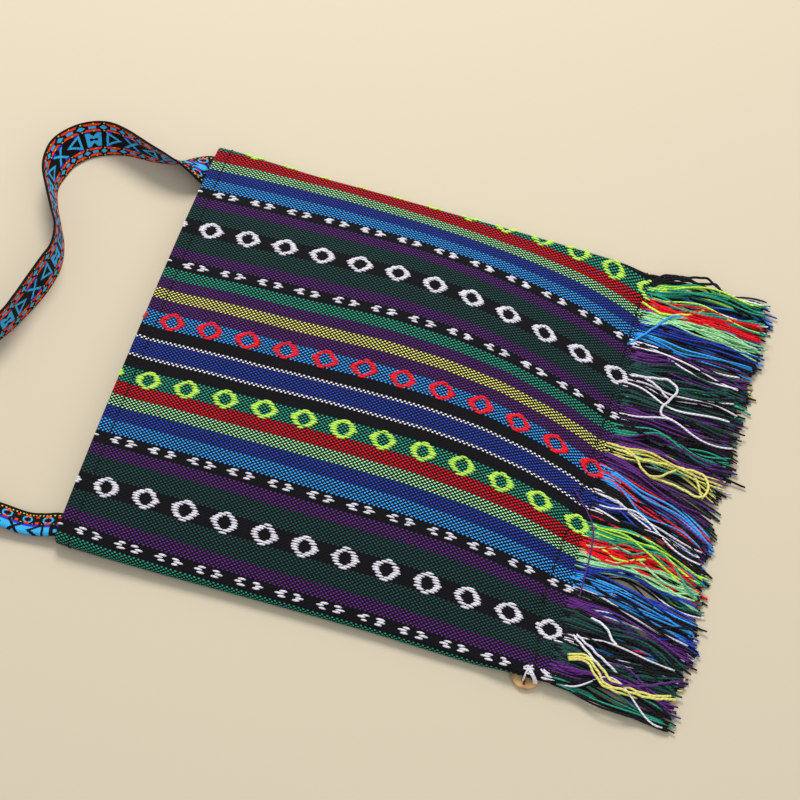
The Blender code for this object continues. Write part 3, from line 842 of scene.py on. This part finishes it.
def ribbon_profile(curl):
    """Centre line of the ribbon as rows (across, up, turn, place), its outer half folded under by curl."""
    half = STRAP_WIDTH / 2
    count = 4 * STRAP_CROSS
    piece = half / count
    run = (np.arange(count) + 0.5) * piece
    turn = np.radians(curl) * np.minimum(run / FOLD_BEND, 1.0)
    across = np.concatenate(((0.0,), -np.cumsum(piece * np.cos(turn))))
    up = np.concatenate(((0.0,), -np.cumsum(piece * np.sin(turn))))
    turn = np.concatenate(((0.0,), turn))
    keep = np.unique(np.round(np.linspace(0, 1, 2 * STRAP_CROSS) ** 1.3 * count).astype(int))
    outer = np.stack((across, up, turn, -np.arange(count + 1) * piece), axis=-1)[keep]
    flat = half * np.linspace(1, 0, STRAP_CROSS, endpoint=False)
    inner = np.stack((flat, 0 * flat, 0 * flat, flat), axis=-1)
    return np.concatenate((inner, outer))


def strap_sections():
    """Front and back lines of the ribbon's section at even steps along it, and the run so far."""
    rows = spline_rows([(*row, 0, 0)[:5] for row in STRAP_ROUTE], ROUTE_STEPS)
    out, beside, *_ = rows.T * BODY_WIDTH
    points = np.stack((MOUTH_X - out, beside, 0 * beside), axis=-1)
    runs = run_along(points)
    up_z = np.array((0.0, 0.0, 1.0))
    result = []
    for run in np.linspace(0, runs[-1], STRAP_STEPS):
        row, centre = rows_at(run, runs, rows), rows_at(run, runs, points)
        ends = np.clip((run - SLOPE_RUN, run + SLOPE_RUN), 0, runs[-1])
        ahead = np.diff(rows_at(ends, runs, points), axis=0)[0]
        ahead /= np.linalg.norm(ahead)
        side = np.cross(up_z, ahead)
        lean = math.radians(row[2])
        across = side * math.cos(lean) + up_z * math.sin(lean)
        up = np.cross(ahead, across)
        profile = ribbon_profile(row[3])
        normal = np.stack((-np.sin(profile[:, 2]), np.cos(profile[:, 2])), axis=-1)
        middle = centre + across * profile[:, :1] + up * profile[:, 1:2]
        thickness = across * normal[:, :1] + up * normal[:, 1:2]
        base = min(max(row[4], 0.0), 1.0) * (HEM_INNER + 1.5 * GAP)
        sheets = middle + np.multiply.outer((0.5, -0.5), thickness * STRAP_THICK)
        sheets[:, :, 2] += base - sheets[:, :, 2].min()
        result.append((run, profile[:, 3], *sheets))
    return result


def build_strap(material):
    """Woven ribbon with its front, its back and its two thin edges as strips of their own UV."""
    sections = strap_sections()
    points, uv, faces = [], [], []
    strips = []
    for run, place, front, back in sections:
        strips.append((
            (run, front, place),
            (run, back, place + BACK_SHIFT),
            (run, (front[0], back[0]), place[0] * EDGE_PLACES),
            (run, (front[-1], back[-1]), place[-1] * EDGE_PLACES),
        ))
    offset = 0
    for index, is_turned in enumerate((False, True, True, False)):
        for strip in strips:
            run, line, place = strip[index]
            points.append(np.array(line))
            uv.append(np.insert(place[:, None], 0, run, axis=1))
        count = len(points[-1])
        strip_faces = grid_faces(len(sections), count, offset=offset)
        faces += [face[::-1] for face in strip_faces] if is_turned else strip_faces
        offset += len(sections) * count
    item = mesh_object("ribbon_strap", np.concatenate(points), faces, material, np.concatenate(uv))
    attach(item, BODY)
    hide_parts("strap")


def operation(name):
    """Method that adds a maths node of one kind."""
    def method(self, *others):
        return self.graph.math(name, self, *others)
    return method


class Value:
    """Output of a shader node for sums with numbers or others. Masks are 1 inside: & keeps both, | either."""

    def __init__(self, graph, socket):
        self.graph = graph
        self.socket = socket

    __add__ = operation("ADD")
    __sub__ = operation("SUBTRACT")
    __mul__ = operation("MULTIPLY")
    __and__ = operation("MULTIPLY")
    __or__ = operation("MAXIMUM")
    __mod__ = operation("MODULO")
    __pow__ = operation("POWER")
    __lt__ = operation("LESS_THAN")
    __gt__ = operation("GREATER_THAN")
    __abs__ = operation("ABSOLUTE")
    floor = operation("FLOOR")
    part = operation("FRACT")
    root = operation("SQRT")
    sine = operation("SINE")

    def __truediv__(self, number):
        return self * (1 / number)

    def __invert__(self):
        return self.graph.math("SUBTRACT", 1.0, self)


class Graph:
    """New material with its shader nodes."""

    def __init__(self, name, roughness, sheen, specular):
        self.material = bpy.data.materials.new(name)
        self.material.use_nodes = True
        self.nodes = self.material.node_tree.nodes
        self.links = self.material.node_tree.links
        self.shader = self.nodes["Principled BSDF"]
        self.shader.inputs["Roughness"].default_value = roughness
        self.shader.inputs["Sheen Weight"].default_value = sheen
        self.shader.inputs["Sheen Roughness"].default_value = 0.5
        self.shader.inputs["Specular IOR Level"].default_value = specular

    def feed(self, socket, value):
        if isinstance(value, Value):
            self.links.new(value.socket, socket)
        else:
            socket.default_value = value

    def node(self, kind, *values):
        """New node with its first inputs fed, and its outputs."""
        node = self.nodes.new(kind)
        for socket, value in zip(node.inputs, values):
            self.feed(socket, value)
        return node, [Value(self, socket) for socket in node.outputs]

    def math(self, operation_name, *values):
        node, outputs = self.node("ShaderNodeMath", *values)
        node.operation = operation_name
        return outputs[0]

    def ramp(self, value, low, high):
        """0 below low, 1 above high, soft between."""
        node, outputs = self.node("ShaderNodeMapRange", value, low, high)
        node.interpolation_type = "SMOOTHSTEP"
        return outputs[0]

    def bands(self, value, stops):
        """Colour at a value from 0 to 1, of stops that each reach up to the next."""
        node, outputs = self.node("ShaderNodeValToRGB", value)
        ramp = node.color_ramp
        ramp.interpolation = "CONSTANT"
        for index, (position, colour) in enumerate(stops):
            stop = ramp.elements[index] if index < 2 else ramp.elements.new(position)
            stop.position = position
            stop.color = colour
        return outputs[0]

    def mix(self, factor, a, b, blend="MIX"):
        node = self.nodes.new("ShaderNodeMix")
        node.data_type = "RGBA"
        node.blend_type = blend
        for index, value in ((0, factor), (6, a), (7, b)):
            self.feed(node.inputs[index], value)
        return Value(self, node.outputs[2])

    def shade(self, colour, tone):
        """Colour made lighter or darker by a tone."""
        return self.mix(1.0, colour, self.vector(tone, tone, tone), "MULTIPLY")

    def paint(self, colour):
        self.feed(self.shader.inputs["Base Color"], colour)

    def uv(self):
        node, outputs = self.node("ShaderNodeUVMap")
        node.uv_map = "weave"
        return self.split(outputs[0])[:2]

    def split(self, vector):
        return self.node("ShaderNodeSeparateXYZ", vector)[1]

    def vector(self, x, y, z=0.0):
        return self.node("ShaderNodeCombineXYZ", x, y, z)[1][0]

    def noise(self, vector, scale=1.0, detail=2.0):
        node, outputs = self.node("ShaderNodeTexNoise", vector)
        node.inputs["Scale"].default_value = scale
        node.inputs["Detail"].default_value = detail
        return outputs[0]

    def place(self):
        return Value(self, self.nodes.new("ShaderNodeTexCoord").outputs["Object"])

    def bump(self, height, distance, strength):
        node = self.nodes.new("ShaderNodeBump")
        node.inputs["Distance"].default_value = distance
        node.inputs["Strength"].default_value = strength
        self.feed(node.inputs["Height"], height)
        self.links.new(node.outputs[0], self.shader.inputs["Normal"])


FULL_TURN = 2 * math.pi
# Reach of one warp dot along and across its cell, as shares of the cell, and the power that rounds it
DOT_LONG = 0.25
DOT_WIDE = 0.46
DOT_POWER = 2.2


def cloth_material():
    """Striped cloth: coloured warp dots in a staggered grid over a black weft."""
    g = Graph("striped_weave", 0.85, 0.04, 0.08)
    u, v = g.uv()
    along, stripe = u * 1000.0, v * 1000.0
    row_place = stripe / WARP_PITCH
    row = row_place.floor()
    across = row_place.part() - 0.5
    odd = (row * 0.5).part()
    wobble = g.noise(g.vector(along * 0.12, row * 0.37)) - 0.5
    phase = along / DOT_PITCH + odd + (across * 0.08 + wobble * 0.40)
    lengthwise = phase.part() - 0.5
    dot = abs(lengthwise / DOT_LONG) ** DOT_POWER + abs(across / DOT_WIDE) ** DOT_POWER
    cover = ~g.ramp(dot, 0.35, 1.15)
    first = STRIPES[0][0]
    repeat = (((row + 0.5) * WARP_PITCH - first) / STRIPE_REPEAT).part()
    bands = g.bands(repeat, [((start - first) / STRIPE_REPEAT, colour) for start, colour in STRIPES])
    yarn_tone = g.noise(g.vector(along * 0.05, row * 0.77, 3.0))
    fibre = g.noise(g.vector(along * 1.2, stripe * 3.2), 1.0, 3.0)
    warp = g.shade(bands, yarn_tone * 0.7 + fibre + 0.30)
    weft = g.mix(fibre, srgb(4, 4, 6), srgb(24, 22, 28))
    g.paint(g.mix(cover, weft, warp))
    dome = (~dot | 0.0).root()
    twist = ((along * 2.2 + across * 3.0) * FULL_TURN).sine()
    g.bump(dome + twist * 0.04 + fibre * 0.15, 0.00042, 0.9)
    return g.material


def yarn_material(name, ply_length):
    """Twisted yarn in the colour that each strand carries, its plies ply_length mm long, with painted shade
    in the grooves of the twist and painted highlight on the plies.
    """
    g = Graph(name, 0.75, 0.08, 0.15)
    node, tint = g.node("ShaderNodeAttribute")
    node.attribute_name = "yarn_colour"
    u, v = g.uv()
    twist = ((u * (1000.0 / ply_length) + v * 2.0) * FULL_TURN).sine()
    fibre = g.noise(g.place(), 2600.0, 3.0)
    # The twist wave in the tone is painted shade in the grooves between plies and painted highlight on their
    # crowns; the same wave also shapes the bump.
    g.paint(g.shade(tint[0], twist * 0.10 + (fibre * 0.5 + 0.72)))
    g.bump(twist + fibre * 0.8, 0.00016, 0.8)
    return g.material


# Figures of the ribbon in mm: length of one, shift of the first, half width of the middle band,
# middle and outer edge of the borders
FIGURE_LENGTH = 11.4
FIGURE_SHIFT = 9.1
MIDDLE_BAND = 4.5
BORDER_MIDDLE = 6.9
BORDER_EDGE = 9.4
# The reverse's middle band with its blue edge, its cyan part and the middle of its borders
REVERSE_BAND = 3.1
REVERSE_CYAN = 2.1
REVERSE_MIDDLE = 5.7
# Run along the ribbon in m from which its reverse lies up, as it does at the near corner
TURNED_FROM = 0.82
# Steps of the ribbon's weave in mm, along and across
PICK = 0.42
WALE = 0.30
CYAN = srgb(58, 176, 232)
RIBBON_BLUE = srgb(48, 50, 200)
ORANGE_RED = srgb(252, 62, 20)
DOT_YELLOW = srgb(226, 200, 40)
RIBBON_BLACK = srgb(9, 8, 9)


def between(value, low, high):
    return (value > low) & (value < high)


def dotted(along, pitch, share):
    """Mask of short dashes at a pitch in mm, share of it to each side of their middle."""
    return abs((along / pitch).part() - 0.5) < share


def choose(switch, a, b):
    """a where switch is 0, b where it is 1."""
    return a + switch * (b - a)


def ribbon_figures(along, across):
    """Masks of the cyan and blue parts of the middle band: cross, triangle, block, triangle and so on."""
    place = (along - FIGURE_SHIFT) / FIGURE_LENGTH
    number = (place.floor() + 400.0) % 4.0
    spot = (place.part() - 0.5) * FIGURE_LENGTH
    wide, length = abs(across), abs(spot)
    arm = wide * 1.15 - length
    cross = (abs(arm) < 1.0) & (length < 5.3) & (wide < 3.6)
    cross_blue = (arm > -1.0) & (wide > 3.0) & (length > 1.4)
    holes = (length < 2.4) & ((wide < length * 0.15 + 0.5) | (wide > length * 0.9 + 1.9))
    block = (length < 4.3) & (wide < 3.8) & ~holes
    block_blue = between(length, 1.8, 4.3) & (wide > 3.8)
    figures = [(number < 0.5, cross, cross_blue), (between(number, 1.5, 2.5), block, block_blue)]
    for sign, is_here in ((1, between(number, 0.5, 1.5)), (-1, number > 2.5)):
        out = spot * sign
        half = (out + 5.1) * 0.48
        outer = (wide < half) & (out < 4.2)
        inner = (wide < half - 1.35) & (out < 2.8)
        figures.append((is_here, outer & ~inner, (wide > 3.2) & between(out, 1.0, 4.2)))
    inside = wide < MIDDLE_BAND
    cyan, blue = 0.0, 0.0
    for is_here, cyan_part, blue_part in figures:
        cyan = is_here & cyan_part | cyan
        blue = is_here & blue_part | blue
    return cyan & inside, blue & inside, inside


def border_place(along, across, middle):
    """Place in a border: out from its middle line, the size of that, and along from the figures' ends."""
    beside = abs(across) - middle
    place = (along - FIGURE_SHIFT) / FIGURE_LENGTH + 0.5
    return beside, abs(beside), abs(place.part() - 0.5) * FIGURE_LENGTH


def ribbon_border(along, across):
    """Masks of the red, cyan and yellow parts of the two borders: a chain of leaves and small diamonds."""
    beside, off, far = border_place(along, across, BORDER_MIDDLE)
    diamond = off / 1.35 + far / 2.2 < 1.0
    halo = off / 3.5 + far / 3.3 < 1.0
    core = (off < 0.66) & (far > 3.8)
    line = (off < 0.95) & (far > 2.6)
    leaf = (off < 2.3) & ~halo & ~line
    outer_dots = between(beside, 1.9, 2.5) & dotted(along, 5.7, 0.07)
    inner_dots = between(beside, -2.3, -1.6) & dotted(along, 5.7, 0.08)
    inside = between(abs(across), MIDDLE_BAND, BORDER_EDGE)
    return leaf & inside, (diamond | core) & inside, (outer_dots | inner_dots) & inside


def reverse_border(along, across):
    """Masks of the reverse's borders: cyan rings between orange marks and a line of yellow dots on black."""
    beside, off, far = border_place(along, across, REVERSE_MIDDLE)
    wide, long = off * off, far * far
    outer = wide / 3.6 + long / 8.4 < 1.0
    core = wide / 1.5 + long / 3.8 < 1.0
    cap = between(off, 1.3, 2.3) & (far < 1.5)
    ring = outer & ~core & ~cap
    square = between(off, 1.1, 2.1) & (far > FIGURE_LENGTH / 2 - 0.9)
    outer_dots = between(beside, 2.3, 2.9) & dotted(along, 2.0, 0.2)
    inner_dots = between(beside, -2.3, -1.8) & (abs(far - 3.2) < 0.3)
    inside = between(abs(across), REVERSE_BAND, BORDER_EDGE)
    return (cap | square) & inside, ring & inside, (outer_dots | inner_dots) & inside


def ribbon_material():
    """Jacquard ribbon: cyan and blue figures on black between red borders, and its reverse, with painted
    shade between the ribs of its weave and painted highlight on them.
    """
    g = Graph("jacquard_ribbon", 0.7, 0.03, 0.12)
    u, v = g.uv()
    along = u * 1000.0
    on_back = v > BACK_SHIFT / 2
    across = (v - on_back * BACK_SHIFT) * 1000.0
    is_back = abs(on_back - (u > TURNED_FROM))
    pick = (along / PICK).floor() * PICK
    wale = (across / WALE).floor() * WALE
    uneven = pick + (g.noise(g.vector(pick * 3.1, wale * 2.3)) - 0.5) * 0.5
    cyan, blue, middle = ribbon_figures(uneven, wale)
    borders = zip(ribbon_border(uneven, wale), reverse_border(uneven, wale))
    red, ring, dots = (choose(is_back, front, back) for front, back in borders)
    band = middle & (abs(wale) < REVERSE_BAND)
    turned = band & ~(cyan | blue)
    cyan = choose(is_back, cyan, turned & (abs(wale) < REVERSE_CYAN))
    blue = choose(is_back, blue, band & (turned | blue))
    colour = g.mix(blue, RIBBON_BLACK, RIBBON_BLUE)
    for mask, tint in ((cyan | ring, CYAN), (red, ORANGE_RED), (dots, DOT_YELLOW)):
        colour = g.mix(mask, colour, tint)
    weave = (across * (math.pi / WALE)).sine() * 0.5 + (along * (math.pi / PICK)).sine() * 0.5
    fibre = g.noise(g.place(), 3000.0)
    # The weave wave in the tone is painted highlight on the rib crowns and painted shade between the ribs;
    # the same wave also shapes the bump.
    g.paint(g.shade(colour, weave * 0.16 + (fibre * 0.5 + 0.75)))
    g.bump(weave * 0.6 + (cyan | ring | red) * 0.8, 0.00014, 0.9)
    return g.material


def wood_material():
    """Pale turned wood with fine grain."""
    g = Graph("button_grain", 0.5, 0.0, 0.35)
    place = g.place()
    x, y, _ = g.split(place)
    grain = (x * 900.0 + g.noise(place, 90.0) * 9.0).sine() * 0.5 + 0.5
    fine = g.noise(g.vector(x * 2600.0, y * 240.0), 1.0, 3.0)
    g.paint(g.mix(grain * 0.5 + fine * 0.5, srgb(160, 112, 66), srgb(224, 184, 130)))
    g.bump(grain + fine, 0.00006, 0.5)
    return g.material


def stand(name, data, place, aim):
    """Camera or light at a place, looking along aim."""
    item = bpy.data.objects.new(name, data)
    item.location = place
    item.rotation_mode = "QUATERNION"
    item.rotation_quaternion = aim.to_track_quat("-Z", "Y")
    bpy.context.scene.collection.objects.link(item)
    return item


def aim_camera():
    azimuth, elevation = math.radians(CAMERA_AZIMUTH), math.radians(CAMERA_ELEVATION)
    flat = math.cos(elevation)
    back = Vector((math.sin(azimuth) * flat, -math.cos(azimuth) * flat, math.sin(elevation)))
    data = bpy.data.cameras.new("view")
    data.sensor_width = CAMERA_SENSOR
    data.lens = CAMERA_LENS
    data.clip_start = 0.01
    bpy.context.scene.camera = stand("view", data, CAMERA_TARGET + back * CAMERA_DISTANCE, -back)


def area_light(name, place, size, power, colour):
    """Round light that looks at the middle of the bag."""
    data = bpy.data.lights.new(name, "AREA")
    data.shape = "DISK"
    data.size = size
    data.energy = power
    data.color = colour
    stand(name, data, place, -Vector(place))


def set_stage():
    """Plain pale floor and soft daylight from beyond the far side."""
    g = Graph("pale_floor", 0.8, 0.0, 0.2)
    g.paint(srgb(206, 194, 170))
    size = 4.0
    corners = [(-size, -size, 0), (size, -size, 0), (size, size, 0), (-size, size, 0)]
    floor = mesh_object("floor", corners, [(0, 1, 2, 3)], g.material)
    floor.location.z = -0.0002
    area_light("daylight", (-0.35, 0.95, 1.25), 0.7, 21, (1.0, 0.98, 0.95))
    area_light("fill", (0.9, -0.9, 1.3), 1.4, 6, (0.95, 0.97, 1.0))
    world = bpy.data.worlds.new("daylight")
    world.use_nodes = True
    background = world.node_tree.nodes["Background"]
    background.inputs["Color"].default_value = (0.95, 0.97, 1.0, 1.0)
    background.inputs["Strength"].default_value = 0.55
    bpy.context.scene.world = world


aim_camera()
set_stage()
CLOTH_MATERIAL = cloth_material()
FLOAT_MATERIAL = yarn_material("pattern_yarn", 1.6)
CLOTH_MAP = ClothMap()
build_cloth(CLOTH_MATERIAL)
build_floats(CLOTH_MAP, FLOAT_MATERIAL)
FRINGE_MATERIAL = yarn_material("fringe_thread", 2.2)
build_fringe(CLOTH_MAP, FRINGE_MATERIAL)
build_loose_yarns(FRINGE_MATERIAL)
build_stitches(CLOTH_MAP, FLOAT_MATERIAL)
build_strap(ribbon_material())
build_button_tie(FLOAT_MATERIAL)
BUTTON_MESH = bpy.data.objects["button"].data
BUTTON_MESH.materials.clear()
BUTTON_MESH.materials.append(wood_material())
bpy.context.scene.view_settings.view_transform = "Standard"
